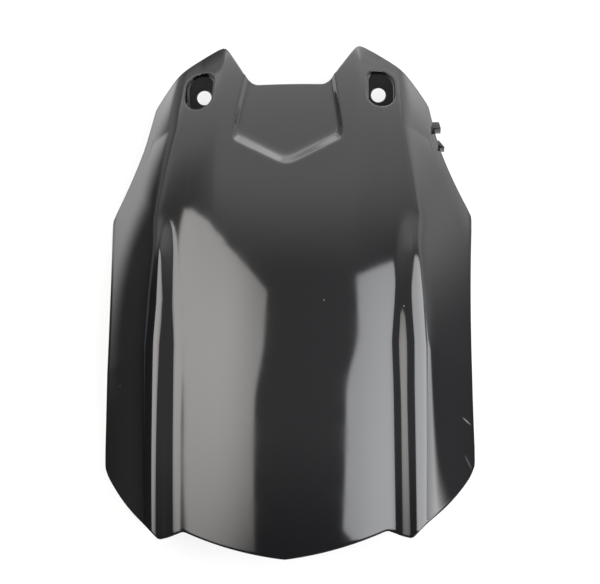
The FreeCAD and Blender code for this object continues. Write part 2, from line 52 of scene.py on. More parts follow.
def gloss_black():
    """Make the moulded plastic: near-black body, clear reflections, slight ripple and handling marks."""
    plastic = bpy.data.materials.new("gloss black ABS")
    plastic.use_nodes = True
    nodes, links = plastic.node_tree.nodes, plastic.node_tree.links
    shader = nodes["Principled BSDF"]
    shader.inputs["IOR"].default_value = 1.52
    place = nodes.new("ShaderNodeTexCoord").outputs["Object"]

    def noise(scale, detail):
        node = nodes.new("ShaderNodeTexNoise")
        node.inputs["Scale"].default_value = scale
        node.inputs["Detail"].default_value = detail
        links.new(place, node.inputs["Vector"])
        return node.outputs["Fac"]

    def ranged(value, low, high, low_to, high_to):
        node = nodes.new("ShaderNodeMapRange")
        node.interpolation_type = "SMOOTHSTEP"
        for socket, number in zip(node.inputs[1:5], (low, high, low_to, high_to)):
            socket.default_value = number
        links.new(value, node.inputs[0])
        return node.outputs[0]

    # two scuffs on the right corner and three specks on the skin:
    # across, along, turn in degrees, half length, half width, paleness
    worn = None
    for across, along, turn, length, width, pale in (
            (103.5, -81.5, -13.0, 3.4, 0.7, 0.4),
            (104.2, -104.0, -53.0, 4.5, 1.0, 0.14),
            (-97.2, -63.5, 0.0, 0.5, 0.5, 0.5),
            (22.6, -28.3, 0.0, 0.45, 0.45, 0.6),
            (67.6, -28.8, 0.0, 0.45, 0.45, 0.6)):
        mark = nodes.new("ShaderNodeMapping")
        mark.vector_type = "TEXTURE"
        mark.inputs["Location"].default_value = (across * MM, along * MM, 0.0)
        mark.inputs["Rotation"].default_value = (0.0, 0.0, math.radians(turn))
        mark.inputs["Scale"].default_value = (length * MM, width * MM, 1000.0)
        links.new(place, mark.inputs["Vector"])
        reach = nodes.new("ShaderNodeVectorMath")
        reach.operation = "LENGTH"
        links.new(mark.outputs[0], reach.inputs[0])
        shade = ranged(reach.outputs["Value"], 0.4, 1.0, pale, 0.0)
        if worn is not None:
            both = nodes.new("ShaderNodeMath")
            links.new(worn, both.inputs[0])
            links.new(shade, both.inputs[1])
            shade = both.outputs[0]
        worn = shade
    colour = nodes.new("ShaderNodeMix")
    colour.data_type = "RGBA"
    links.new(worn, colour.inputs[0])
    colour.inputs[6].default_value = (0.0042, 0.0043, 0.0048, 1.0)
    colour.inputs[7].default_value = (0.16, 0.16, 0.16, 1.0)
    links.new(colour.outputs[2], shader.inputs["Base Color"])
    dull = nodes.new("ShaderNodeMath")
    links.new(ranged(noise(60.0, 3.0), 0.35, 0.65, 0.075, 0.095), dull.inputs[0])
    links.new(worn, dull.inputs[1])
    links.new(dull.outputs[0], shader.inputs["Roughness"])
    ripple = nodes.new("ShaderNodeBump")
    ripple.inputs["Strength"].default_value = 0.035
    ripple.inputs["Distance"].default_value = 0.5 * MM
    links.new(noise(28.0, 1.0), ripple.inputs["Height"])
    links.new(ripple.outputs[0], shader.inputs["Normal"])
    return plastic


black = gloss_black()

# Skin of the fender
# One injection-moulded shell, 2.6 mm thick, open below over the tyre.
# A flat plan of the right half is lifted onto the skin by a rule; the left half is its mirror image.

WALL = 2.6
RIM_ROUND = 0.7
TIP_Y, TIP_CUT = -168.75, 2.3
CREASE_X, VALLEY_X, CREST_X = 42.0, 57.0, 70.5
EAR_TIP_Y, NOTCH_Y = 170.1, 131.6
WAIST = (112.0, 57.0)
LOWER_CORNER = (108.8, -104.5)

# corner across, along, outward bow of the stretch that ends there, length that its rounding takes
OUTLINE = (
    (VALLEY_X, -152.0, 2.6, 1.6),
    (CREST_X, -156.5, 0.0, 2.0),
    (*LOWER_CORNER, 2.6, 3.2),
    (*WAIST, -2.4, 2.6),
    (87.4, 128.0, -5.0, 2.6),
    (CREASE_X, EAR_TIP_Y, 4.2, 4.6),
    (27.8, 138.2, 0.0, 2.4),
    (21.0, NOTCH_Y, 0.0, 1.6),
    (0.0, NOTCH_Y, 0.0, 0.0),
)


def bowed(start, end, bow):
    """Sample one stretch of the outline, bowed outwards to the right of its run."""
    start, end = np.array(start), np.array(end)
    share = np.linspace(0, 1, 1 + int(np.linalg.norm(end - start) / 0.4))[:, None]
    outward = np.array((end[1] - start[1], start[0] - end[0])) / np.linalg.norm(end - start)
    return start + (end - start) * share + outward * bow * 4 * share * (1 - share)


def run_length(points):
    """Give the length of a run of points up to each of them."""
    return np.concatenate(([0], np.cumsum(np.linalg.norm(np.diff(points, axis=0), axis=1))))


def outline_run():
    """Give the right half of the outline, rear tip to notch, its corners rounded, and the corner indices."""
    stretches, start = [], (0.0, TIP_Y)
    for across, along, bow, _ in OUTLINE:
        stretches.append(bowed(start, (across, along), bow))
        start = (across, along)
    cut = TIP_CUT
    middle = np.array((0.0, (TIP_Y + np.interp(TIP_CUT, stretches[0][:, 0], stretches[0][:, 1])) / 2))
    run, corner_at = [middle[None, :]], []
    for stretch, following, corner in zip(stretches, stretches[1:] + [None], OUTLINE):
        length = run_length(stretch)
        keep = (length > cut) & (length < length[-1] - corner[3])
        run.append(stretch[keep])
        if following is not None:
            cut = corner[3]
            before = stretch[length < length[-1] - corner[3]][-1]
            after = following[run_length(following) > cut][0]
            turn = np.linspace(0, 1, 9)[1:-1, None]
            bend = (before * (1 - turn) ** 2 + 2 * np.array(corner[:2]) * turn * (1 - turn)
                    + after * turn ** 2)
            corner_at.append(sum(len(part) for part in run) + len(bend) // 2)
            run.append(bend)
    run.append(stretches[-1][-1:])
    return np.concatenate(run), corner_at


outline, corner_at = outline_run()
tangent = np.gradient(outline, axis=0)
outward = np.stack((tangent[:, 1], -tangent[:, 0]), axis=1) / np.linalg.norm(tangent, axis=1)[:, None]
outward[0] = (0, -1)
outward[-1] = (0, 1)
edge = outline - RIM_ROUND * outward
edge[0, 0] = edge[-1, 0] = 0.0
lower_at, waist_at = corner_at[2], corner_at[3]


def spaced(*spans):
    """Give grid lines: each span is its end and the spacing up to there, from 0."""
    lines = [0.0]
    for end, spacing in spans:
        steps = max(1, round((end - lines[-1]) / spacing))
        lines += list(np.linspace(lines[-1], end, steps + 1)[1:])
    return np.array(lines)


# columns are closest at the recess walls and the valleys, rows at the rear edge and along the recess
INNER_X, ROW_SPAN = 100.0, 300.4
columns = spaced((26, 1.6), (37, 0.5), (52, 1.7), (63, 0.75), (86, 1.25), (INNER_X, 2.0),
                 (INNER_X + 9, 1.8))
rows = spaced((8, 1.0), (214, 2.4), (296, 1.05), (ROW_SPAN, 0.7)) / ROW_SPAN


def plan_grid(edge):
    """Lay the grid of the right half inside an edge: columns run from the rear edge to the front one."""
    rear, side, front = edge[:lower_at + 1], edge[lower_at:waist_at + 1], edge[waist_at:][::-1]
    outer = np.clip((columns - INNER_X) / (columns[-1] - INNER_X), 0, 1)
    inner = np.minimum(columns, INNER_X)
    rear_x = inner + outer * (rear[-1, 0] - INNER_X)
    front_x = inner + outer * (front[-1, 0] - INNER_X)
    rear_y = np.interp(rear_x, rear[:, 0], rear[:, 1])
    front_y = np.interp(front_x, front[:, 0], front[:, 1])
    y = rear_y[:, None] + (front_y - rear_y)[:, None] * rows[None, :]
    side_x = np.interp(y, side[:, 1], side[:, 0])
    x = inner[:, None] + outer[:, None] * (side_x - INNER_X)
    return np.stack((x, y), axis=2)


def skin_rule():
    """Build the tree that lifts a flat plan to the skin: arc, arch, creases, ridges, panels, recess."""
    tree = bpy.data.node_groups.new("fender skin", "GeometryNodeTree")
    tree.interface.new_socket("Plan", in_out="INPUT", socket_type="NodeSocketGeometry")
    tree.interface.new_socket("Skin", in_out="OUTPUT", socket_type="NodeSocketGeometry")
    sizes = {
        "Crown Height": 75.95, "Crown Radius": 359.0, "Crown Apex": -17.5, "Arch Radius": 188.0,
        "Crease": CREASE_X, "Crease Lift": 1.8, "Crease End": 10.0, "Ear Tip": EAR_TIP_Y,
        "Valley": VALLEY_X, "Valley Rear": 62.5, "Valley Front": 67.5,
        "Crest": CREST_X, "Crest Splay": 8.1,
        "Ridge Height": 9.3, "Ridge Start": 100.0, "Ridge Full": -50.0,
        "Swell Start": 36.0, "Swell End": 4.0,
        "Shoulder Rear": 27.0, "Shoulder Front": 5.0, "Shoulder Full": -25.0,
        "Waist": WAIST[1], "Lower Corner": LOWER_CORNER[1],
        "Recess Depth": 5.0, "Recess Tip": 61.0, "Recess Corner": 85.4, "Recess Half": 34.2,
        "Recess Mouth": 28.9, "Notch": NOTCH_Y, "Recess Edge": 0.7, "Recess Foot": 2.6, "Recess Bend": 8.0,
        "Recess Tip Bend": 4.5, "Wall": 0.0,
    }
    angles = {"Side Slope Front": 55.1, "Side Slope Rear": 62.2}
    ratios = {
        "Ridge Steepness": 1.12, "Valley Softness": 0.36, "Crease Softness": 0.12,
        "Side Wall Run": 0.65, "Rear Wall Run": 1.75,
    }
    values = {name: size * MM for name, size in sizes.items()}
    values.update({name: math.radians(angle) for name, angle in angles.items()})
    values.update(ratios)
    sockets = {}
    for name, value in values.items():
        socket = tree.interface.new_socket(name, in_out="INPUT", socket_type="NodeSocketFloat")
        socket.default_value = value
        sockets[name] = socket.identifier
    given = tree.nodes.new("NodeGroupInput").outputs

    def calc(operation, *terms):
        node = tree.nodes.new("ShaderNodeMath")
        node.operation = operation
        for socket, term in zip(node.inputs, terms):
            if isinstance(term, (int, float)):
                socket.default_value = term
            else:
                tree.links.new(term, socket)
        return node.outputs[0]

    def add(*terms):
        total = terms[0]
        for term in terms[1:]:
            total = calc("ADD", total, term)
        return total

    def less(a, b):
        return calc("SUBTRACT", a, b)

    def times(a, b):
        return calc("MULTIPLY", a, b)

    def over(a, b):
        return calc("DIVIDE", a, b)

    def share(value, start, end):
        return calc("MINIMUM", calc("MAXIMUM", over(less(value, start), less(end, start)), 0.0), 1.0)

    def mix(a, b, amount):
        return add(a, times(less(b, a), amount))

    def fall(radius, run):
        return less(radius, calc("SQRT", less(times(radius, radius), times(run, run))))

    split = tree.nodes.new("ShaderNodeSeparateXYZ")
    tree.links.new(tree.nodes.new("GeometryNodeInputPosition").outputs[0], split.inputs[0])
    x, y = calc("ABSOLUTE", split.outputs["X"]), split.outputs["Y"]

    # crown along the wheel, arch across it
    crown = less(given["Crown Height"], fall(given["Crown Radius"], less(y, given["Crown Apex"])))
    arch = less(crown, fall(given["Arch Radius"], x))
    # creases that fade backwards from the ear tips
    crease_share = share(y, given["Crease End"], given["Ear Tip"])
    to_crease = over(x, given["Crease"])
    from_crease = over(less(given["Valley"], x), less(given["Valley"], given["Crease"]))
    crease = calc("SMOOTH_MIN", times(to_crease, to_crease),
                  calc("SMOOTH_MAX", from_crease, 0.0, given["Crease Softness"]), given["Crease Softness"])
    crease = times(times(given["Crease Lift"], crease_share), crease)
    # shoulder ridges that rise and splay towards the rear
    ridge_share = share(y, given["Ridge Start"], given["Ridge Full"])
    swell = share(y, given["Swell Start"], given["Swell End"])
    swell = times(times(swell, swell), less(3.0, times(swell, 2.0)))
    valley_x = mix(given["Valley Rear"], given["Valley Front"],
                   share(y, given["Ridge Full"], given["Swell Start"]))
    crest_x = add(given["Crest"], times(given["Crest Splay"], ridge_share))
    up_ridge = over(less(x, valley_x), less(crest_x, valley_x))
    ridge = calc("SMOOTH_MAX", up_ridge, 0.0, given["Valley Softness"])
    ridge_rise = times(given["Ridge Height"], ridge_share)
    ridge = times(times(times(ridge_rise, given["Ridge Steepness"]), swell), ridge)
    # side panels, rounded into the shoulders
    crest = add(less(crown, fall(given["Arch Radius"], crest_x)), ridge_rise)
    side_share = over(less(given["Waist"], y), less(given["Waist"], given["Lower Corner"]))
    slope = calc("TANGENT", mix(given["Side Slope Front"], given["Side Slope Rear"], side_share))
    panel = less(crest, times(slope, less(x, crest_x)))
    shoulder = mix(given["Shoulder Rear"], given["Shoulder Front"],
                   share(y, given["Shoulder Full"], given["Swell Start"]))
    skin = calc("SMOOTH_MIN", add(arch, crease, ridge), panel, shoulder)
    # shield recess with sloping walls, open into the notch
    half = mix(given["Recess Half"], given["Recess Mouth"],
               over(less(y, given["Recess Corner"]), less(given["Notch"], given["Recess Corner"])))
    bend = given["Recess Tip Bend"]
    from_tip = less(calc("SQRT", add(times(x, x), times(bend, bend))), times(bend, 0.9))
    rear_line = mix(given["Recess Tip"], given["Recess Corner"], over(from_tip, given["Recess Half"]))
    rear_lean = over(less(given["Recess Corner"], given["Recess Tip"]), given["Recess Half"])
    rear_reach = over(less(y, rear_line), calc("SQRT", add(1.0, times(rear_lean, rear_lean))))
    in_side = over(less(half, x), given["Side Wall Run"])
    in_rear = over(rear_reach, given["Rear Wall Run"])
    walls = calc("SMOOTH_MIN", in_side, in_rear, given["Recess Bend"])
    sunk = calc("SMOOTH_MIN", walls, given["Recess Depth"], given["Recess Foot"])
    skin = less(skin, calc("SMOOTH_MAX", sunk, 0.0, given["Recess Edge"]))

    def lifted(geometry, height):
        place = tree.nodes.new("ShaderNodeCombineXYZ")
        for axis, term in (("X", split.outputs["X"]), ("Y", y), ("Z", height)):
            tree.links.new(term, place.inputs[axis])
        move = tree.nodes.new("GeometryNodeSetPosition")
        tree.links.new(geometry, move.inputs["Geometry"])
        tree.links.new(place.outputs[0], move.inputs["Position"])
        return move.outputs["Geometry"]

    upper = lifted(given["Plan"], skin)
    # the wall is measured square to the skin
    normal = tree.nodes.new("ShaderNodeSeparateXYZ")
    tree.links.new(tree.nodes.new("GeometryNodeInputNormal").outputs[0], normal.inputs[0])
    sink = tree.nodes.new("ShaderNodeCombineXYZ")
    tree.links.new(times(over(given["Wall"], normal.outputs["Z"]), -1.0), sink.inputs["Z"])
    drop = tree.nodes.new("GeometryNodeSetPosition")
    tree.links.new(upper, drop.inputs["Geometry"])
    tree.links.new(sink.outputs[0], drop.inputs["Offset"])
    real = tree.nodes.new("GeometryNodeRealizeInstances")
    tree.links.new(drop.outputs["Geometry"], real.inputs[0])
    painted = tree.nodes.new("GeometryNodeSetMaterial")
    painted.inputs["Material"].default_value = black
    tree.links.new(real.outputs[0], painted.inputs["Geometry"])
    tree.links.new(painted.outputs["Geometry"], tree.nodes.new("NodeGroupOutput").inputs[0])
    return tree, sockets


rule, rule_sockets = skin_rule()


def lift(points, faces, wall):
    """Lift flat points to the skin, or to the underside when a wall is given, and return their places."""
    mesh = bpy.data.meshes.new("plan")
    mesh.from_pydata([(x * MM, y * MM, 0.0) for x, y in points], [], faces)
    plan = bpy.data.objects.new("plan", mesh)
    bpy.context.collection.objects.link(plan)
    modifier = plan.modifiers.new("skin", "NODES")
    modifier.node_group = rule
    modifier[rule_sockets["Wall"]] = wall * MM
    graph = bpy.context.evaluated_depsgraph_get()
    result = bpy.data.meshes.new_from_object(plan.evaluated_get(graph), depsgraph=graph)
    places = np.empty(len(result.vertices) * 3)
    result.vertices.foreach_get("co", places)
    bpy.data.objects.remove(plan)
    bpy.data.meshes.remove(result)
    bpy.data.meshes.remove(mesh)
    return places.reshape(-1, 3) / MM


def grid_faces():
    """List the quads of the grid."""
    count = len(rows)
    corners = [i * count + j for i in range(len(columns) - 1) for j in range(count - 1)]
    return [(k, k + count, k + count + 1, k + 1) for k in corners]


def on_skin(wall):
    """Give a ray caster onto the plain skin, or onto the underside of a wall."""
    points = plan_grid(edge).reshape(-1, 2)
    faces = grid_faces()
    tree = BVHTree.FromPolygons([tuple(p) for p in lift(points, faces, wall)], faces)
    return lambda origin, way: np.array(tree.ray_cast(Vector(origin), Vector(way))[0])


# Screw pockets
# Wells sunk into the ears, round at the rear, with a hole in a seat that leans back with the screw.
# Their walls leave the skin in a small round and meet the seat in a larger one.

SEAT = np.array((54.8, 132.9, 19.98))
LEAN = math.radians(20.0)
SCREW = np.array((0.0, -math.sin(LEAN), math.cos(LEAN)))
ACROSS = np.array((1.0, 0.0, 0.0))
ALONG = np.array((0.0, math.cos(LEAN), math.sin(LEAN)))
WELL_HALF, WELL_SHIFT, WELL_REAR, WELL_FRONT = 8.75, 1.6, 11.4, 14.2
OUTER_ROUND, INNER_ROUND = 10.0, 5.0
WELL_SPOKES = 128
HOLE = 4.5
MOUTH_ROUND, SEAT_ROUND, HOLE_ROUND = 1.2, 0.4, 0.4
ROOT_ROUND, CUP_ROUND = 1.5, 1.2
DRAFT = 0.08


def well_outline():
    """Give the well's outline across the screw and its outward ways, from the right round the front."""
    spring = WELL_HALF - WELL_REAR
    stretches = []
    for centre_u, centre_v, radius, first, last in (
            (WELL_SHIFT + WELL_HALF - OUTER_ROUND, WELL_FRONT - OUTER_ROUND, OUTER_ROUND, 0, 90),
            (WELL_SHIFT - WELL_HALF + INNER_ROUND, WELL_FRONT - INNER_ROUND, INNER_ROUND, 90, 180),
            (WELL_SHIFT, spring, WELL_HALF, 180, 360)):
        angle = np.radians(np.linspace(first, last, 91))
        way = np.stack((np.cos(angle), np.sin(angle)), axis=1)
        stretches.append((np.array((centre_u, centre_v)) + radius * way, way))
    points = np.concatenate([s[0] for s in stretches] + [stretches[0][0][:1]])
    ways = np.concatenate([s[1] for s in stretches] + [stretches[0][1][:1]])
    length = run_length(points)
    fine = np.linspace(0, length[-1], 1 + WELL_SPOKES)[:-1]
    points = np.stack([np.interp(fine, length, points[:, k]) for k in (0, 1)], axis=1)
    ways = np.stack([np.interp(fine, length, ways[:, k]) for k in (0, 1)], axis=1)
    return points, ways / np.linalg.norm(ways, axis=1)[:, None]


well, well_ways = well_outline()


def along_screw(uv, height):
    """Place points of the well's own frame, height above the seat."""
    uv, height = np.atleast_2d(uv), np.broadcast_to(height, len(np.atleast_2d(uv)))
    return SEAT + uv[:, :1] * ACROSS + uv[:, 1:] * ALONG + height[:, None] * SCREW


def meet(caster, uv):
    """Height above the seat at which lines along the screw meet a surface."""
    below = -60.0
    starts = along_screw(uv, below)
    return np.array([below + np.dot(caster(start, SCREW) - start, SCREW) for start in starts])


def curve(first, corner, last, steps):
    """Rows of a round from first to last that bends at corner, without its two ends."""
    rows_between = []
    for t in np.linspace(0, 1, steps + 1)[1:-1]:
        rows_between.append(first * (1 - t) ** 2 + 2 * corner * t * (1 - t) + last * t ** 2)
    return rows_between


def eased(radius, depth):
    """Shrink a round where the wall that carries it is shallow."""
    return radius * (1 - np.exp(-depth / (2 * radius)))


def inside(points, loop):
    """Tell which points lie inside a closed loop."""
    x, y = points[:, 0][:, None], points[:, 1][:, None]
    x1, y1 = loop.T
    x2, y2 = np.roll(loop, -1, axis=0).T
    crosses = (y1 > y) != (y2 > y)
    level = np.where(y1 == y2, 1.0, y2 - y1)
    return np.count_nonzero(crosses & (x < x1 + (y - y1) * (x2 - x1) / level), axis=1) % 2 == 1


def open_window(points, quads, ring, margin):
    """Take the quads under a ring out of the plan; returns the rest and the loop round the gap."""
    middle = ring.mean(axis=0)
    reach = np.linalg.norm(ring - middle, axis=1)[:, None]
    covered = inside(points, middle + (ring - middle) * (1 + margin / reach))
    kept = [quad for quad in quads if not covered[list(quad)].any()]
    gone = [quad for quad in quads if covered[list(quad)].any()]
    sides = {(a, b) for quad in gone for a, b in zip(quad, quad[1:] + quad[:1])}
    follows = {a: b for a, b in sides if (b, a) not in sides}
    loop = [min(follows)]
    while follows[loop[-1]] != loop[0]:
        loop.append(follows[loop[-1]])
    return kept, loop


def fill_between(points, loop, ring):
    """Triangulate the band between the loop round a gap and a ring inside it."""
    both = loop + ring
    spots = points[both]
    count = len(loop)
    edges = [(k, (k + 1) % count) for k in range(count)]
    edges += [(count + k, count + (k + 1) % len(ring)) for k in range(len(ring))]
    found = delaunay_2d_cdt([Vector(spot) for spot in spots], edges, [], 0, 1e-6)
    origin = [both[first[0]] for first in found[3]]
    faces = [tuple(origin[k] for k in face) for face in found[2]]
    centres = np.array([points[list(face)].mean(axis=0) for face in faces])
    wanted = inside(centres, points[loop]) & ~inside(centres, points[ring])
    return [face for face, keep in zip(faces, wanted) if keep]


def half_skin(edge, wall, caster, grow):
    """Build one face of the shell with its well: points, faces, the edge loop and the ring at the hole."""
    flat = plan_grid(edge).reshape(-1, 2)
    start_grow = grow + (ROOT_ROUND if wall else MOUTH_ROUND)
    mouths = []
    for more in (2.4, 1.1, 0.0):
        uv = well + (start_grow + more) * well_ways
        mouths.append(along_screw(uv, meet(caster, uv)))
    quads, loop = open_window(flat, grid_faces(), mouths[0][:, :2], 0.9)
    rings = [list(range(len(flat) + k * WELL_SPOKES, len(flat) + (k + 1) * WELL_SPOKES)) for k in range(3)]
    points = np.concatenate([flat] + [mouth[:, :2] for mouth in mouths])
    quads = quads + fill_between(points, loop, rings[0])

    def strip(outer, inner):
        for k in range(WELL_SPOKES):
            after = (k + 1) % WELL_SPOKES
            quads.append((outer[k], outer[after], inner[after], inner[k]))

    strip(rings[0], rings[1])
    strip(rings[1], rings[2])
    if wall:
        places = list(lift(flat, grid_faces(), wall)) + [place for mouth in mouths for place in mouth]
    else:
        places = list(lift(points, quads, wall))
    ring = rings[2]
    uv, ways = well, well_ways

    def next_ring(ring, row):
        new = list(range(len(places), len(places) + WELL_SPOKES))
        places.extend(row)
        strip(ring, new)
        return new

    # walls down to the seat; where the skin dips below the seat, it runs on without a wall
    foot = -wall
    side = uv + grow * ways
    skin_height = meet(caster, side)
    depth = np.maximum(skin_height - foot, 0.0)
    top_round = eased(ROOT_ROUND if wall else MOUTH_ROUND, depth)
    foot_round = eased(CUP_ROUND if wall else SEAT_ROUND, depth)
    top_of_wall = along_screw(side - DRAFT * ways, skin_height - top_round)
    for row in curve(np.array([places[k] for k in ring]), along_screw(side, skin_height), top_of_wall, 6):
        ring = next_ring(ring, row)
    ring = next_ring(ring, top_of_wall)
    low = np.minimum(skin_height, foot)
    for t in (0.25, 0.5, 0.75, 1.0):
        draft = DRAFT * (1 + 4 * t)
        level = (skin_height - top_round) * (1 - t) + (low + foot_round) * t
        ring = next_ring(ring, along_screw(side - draft * ways, level))
    low_wall = along_screw(side - 5 * DRAFT * ways, low + foot_round)
    seat_edge = side - (5 * DRAFT + 0.4 + foot_round)[:, None] * ways
    seat_place = along_screw(seat_edge, np.minimum(meet(caster, seat_edge), foot))
    for row in curve(low_wall, along_screw(side - 6 * DRAFT * ways, low), seat_place, 6):
        ring = next_ring(ring, row)
    ring = next_ring(ring, seat_place)
    hole_way = seat_edge / np.linalg.norm(seat_edge, axis=1)[:, None]
    rim = hole_way * (HOLE + HOLE_ROUND)
    for t in (0.25, 0.5, 0.75, 1.0):
        seat = seat_edge * (1 - t) + rim * t
        ring = next_ring(ring, along_screw(seat, np.minimum(meet(caster, seat), foot)))
    into = HOLE_ROUND if wall else -HOLE_ROUND
    bore = along_screw(hole_way * HOLE, foot + into)
    for row in curve(along_screw(rim, foot), along_screw(hole_way * HOLE, foot), bore, 4) + [bore]:
        ring = next_ring(ring, row)
    count = len(rows)
    last = len(columns) - 1
    edge_loop = [i * count for i in range(last + 1)] + [last * count + j for j in range(1, count)]
    edge_loop += [i * count + count - 1 for i in range(last - 1, -1, -1)]
    return places, quads, edge_loop, ring


def above_table(caster, clear):
    """Move the edge of a face inwards where the face would pass below a height clear of the table."""
    moved = []
    for place, way in zip(edge, outward):
        inwards = 0.0
        while inwards < 6.0:
            x, y = place - inwards * way
            hit = caster((x, y, -200.0), (0, 0, 1))
            if hit.ndim and hit[2] > clear:
                break
            inwards += 0.1
        moved.append(place - inwards * way)
    moved = np.array(moved)
    moved[0, 0] = moved[-1, 0] = 0.0
    return moved


upper_caster, lower_caster = on_skin(0.0), on_skin(WALL)
upper_edge, lower_edge = above_table(upper_caster, 0.5), above_table(lower_caster, 0.05)
upper, upper_quads, upper_loop, upper_hole = half_skin(upper_edge, 0.0, upper_caster, 0.0)
lower, lower_quads, lower_loop, lower_hole = half_skin(lower_edge, WALL, lower_caster, WALL)

places = list(upper) + list(lower)
quads = list(upper_quads) + [tuple(len(upper) + k for k in reversed(quad)) for quad in lower_quads]
lower_loop = [len(upper) + k for k in lower_loop]
lower_hole = [len(upper) + k for k in lower_hole]
for k in range(len(upper_hole)):
    after = (k + 1) % len(upper_hole)
    quads.append((upper_hole[k], upper_hole[after], lower_hole[after], lower_hole[k]))

# rounded rim between the two faces
upper_rim = np.array([places[k] for k in upper_loop])
lower_rim = np.array([places[k] for k in lower_loop])
run = np.gradient(upper_rim[:, :2], axis=0)
rim_way = np.stack((run[:, 1], -run[:, 0], np.zeros(len(run))), axis=1)
rim_way /= np.linalg.norm(rim_way, axis=1)[:, None]
rim_way[0], rim_way[-1] = (0, -1, 0), (0, 1, 0)
ring = upper_loop
for t in (0.1, 0.25, 0.5, 0.75, 0.9, None):
    if t is None:
        new = lower_loop
    else:
        bulge = RIM_ROUND * (1 - abs(2 * t - 1) ** 4) ** 0.5
        new = list(range(len(places), len(places) + len(ring)))
        places.extend(upper_rim * (1 - t) + lower_rim * t + bulge * rim_way)
    for k in range(len(ring) - 1):
        quads.append((ring[k], new[k], new[k + 1], ring[k + 1]))
    ring = new

fender_mesh = bpy.data.meshes.new("rear fender")
fender_mesh.from_pydata([tuple(p * MM) for p in places], [], quads)
fender_mesh.materials.append(black)
fender = bpy.data.objects.new("fender_moulding", fender_mesh)
bpy.context.collection.objects.link(fender)
mirror = fender.modifiers.new("left half", "MIRROR")
mirror.use_mirror_merge = True
mirror.merge_threshold = 0.00002
graph = bpy.context.evaluated_depsgraph_get()
whole = bpy.data.meshes.new_from_object(fender.evaluated_get(graph), depsgraph=graph)
fender.modifiers.clear()
fender.data = whole

# Hose clip
# Two short fingers on the right-hand edge, a blunt one in front and a hooked one behind it.
# They are moulded in one with the skin; their roots are sunk into its edge.

CLIP_ROOT, CLIP_EDGE, CLIP_REACH, CLIP_HOOK = 87.3, 90.3, 93.7, 2.0
CLIP_BASE, CLIP_HEIGHT, CLIP_ROUND = 7.5, 6.0, 0.45
CLIP_LEAN = 0.36  # fall of the tops towards the front, as the skin falls there
FINGERS = (
    ((CLIP_ROOT, 111.4), (CLIP_REACH, 111.4), (CLIP_REACH - 1.0, 117.4), (CLIP_ROOT, 117.4)),
    ((CLIP_ROOT, 102.4), (CLIP_EDGE, 102.4), (CLIP_REACH, 98.4), (CLIP_REACH + CLIP_HOOK, 98.4),
     (CLIP_EDGE + CLIP_HOOK, 104.4), (CLIP_ROOT, 104.4)),
)
moulding = bmesh.new()
moulding.from_mesh(whole)
for corners in FINGERS:
    finger = bmesh.new()
    foot = finger.faces.new([finger.verts.new((x * MM, y * MM, CLIP_BASE * MM)) for x, y in corners])
    top = bmesh.ops.extrude_face_region(finger, geom=[foot])["geom"]
    middle_y = (min(y for _, y in corners) + max(y for _, y in corners)) / 2 * MM
    for corner in top:
        if isinstance(corner, bmesh.types.BMVert):
            corner.co.z += CLIP_HEIGHT * MM - CLIP_LEAN * (corner.co.y - middle_y)
    bmesh.ops.bevel(finger, geom=list(finger.edges), offset=CLIP_ROUND * MM, segments=3, profile=0.5,
                    affect="EDGES")
    bmesh.ops.recalc_face_normals(finger, faces=list(finger.faces))
    block = bpy.data.meshes.new("clip finger")
    finger.to_mesh(block)
    finger.free()
    moulding.from_mesh(block)
    bpy.data.meshes.remove(block)
moulding.to_mesh(whole)
moulding.free()
whole.polygons.foreach_set("use_smooth", [True] * len(whole.polygons))
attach(fender, "root")
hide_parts("rear_fender")

# Table and light
# White table that runs on past the fender, a leaning softbox at each side and a pale wall in front.
# The table shows white to the camera, but the gloss sees it brighter and dimmer by place,
# as the reflections in the photograph tell.


def wire(tree, kind, **inputs):
    """Add a node, set or link its inputs and return it."""
    node = tree.nodes.new(kind)
    for name, given in inputs.items():
        socket = node.inputs[int(name[1:])] if name[0] == "i" and name[1:].isdigit() else node.inputs[name]
        if isinstance(given, bpy.types.NodeSocket):
            tree.links.new(given, socket)
        else:
            socket.default_value = given
    return node


def sums(tree, operation, first, second):
    """Add a math node."""
    node = wire(tree, "ShaderNodeMath", i0=first, i1=second)
    node.operation = operation
    return node.outputs[0]


def eased_range(tree, value, low, high, low_to, high_to):
    """Map a value smoothly from one range to another."""
    node = wire(tree, "ShaderNodeMapRange", i0=value, i1=low, i2=high, i3=low_to, i4=high_to)
    node.interpolation_type = "SMOOTHSTEP"
    return node.outputs[0]


table = bpy.data.meshes.new("table")
table.from_pydata([(-6, -6, 0), (6, -6, 0), (6, 6, 0), (-6, 6, 0)], [], [(0, 1, 2, 3)])
floor = bpy.data.objects.new("table", table)
bpy.context.collection.objects.link(floor)
white = bpy.data.materials.new("white table")
white.use_nodes = True
nodes = white.node_tree
nodes.nodes.clear()
path = nodes.nodes.new("ShaderNodeLightPath")
spot = wire(nodes, "ShaderNodeSeparateXYZ", i0=nodes.nodes.new("ShaderNodeNewGeometry").outputs["Position"])
# painted reflection: glow that the gloss sees beside the fender, from its middle forwards
past_front = sums(nodes, "MAXIMUM", sums(nodes, "SUBTRACT", spot.outputs["Y"], 0.09), 0.0)
left_way = sums(nodes, "SUBTRACT", spot.outputs["X"], sums(nodes, "MULTIPLY", past_front, 0.36))
beside = sums(nodes, "MULTIPLY", eased_range(nodes, left_way, -0.142, -0.126, 0.0, 1.0),
              eased_range(nodes, spot.outputs["X"], 0.102, 0.130, 1.0,
                          eased_range(nodes, spot.outputs["Y"], -0.01, 0.09, 0.1, 0.55)))
along = eased_range(nodes, spot.outputs["Y"], -0.07, 0.075, 0.0, 1.25)
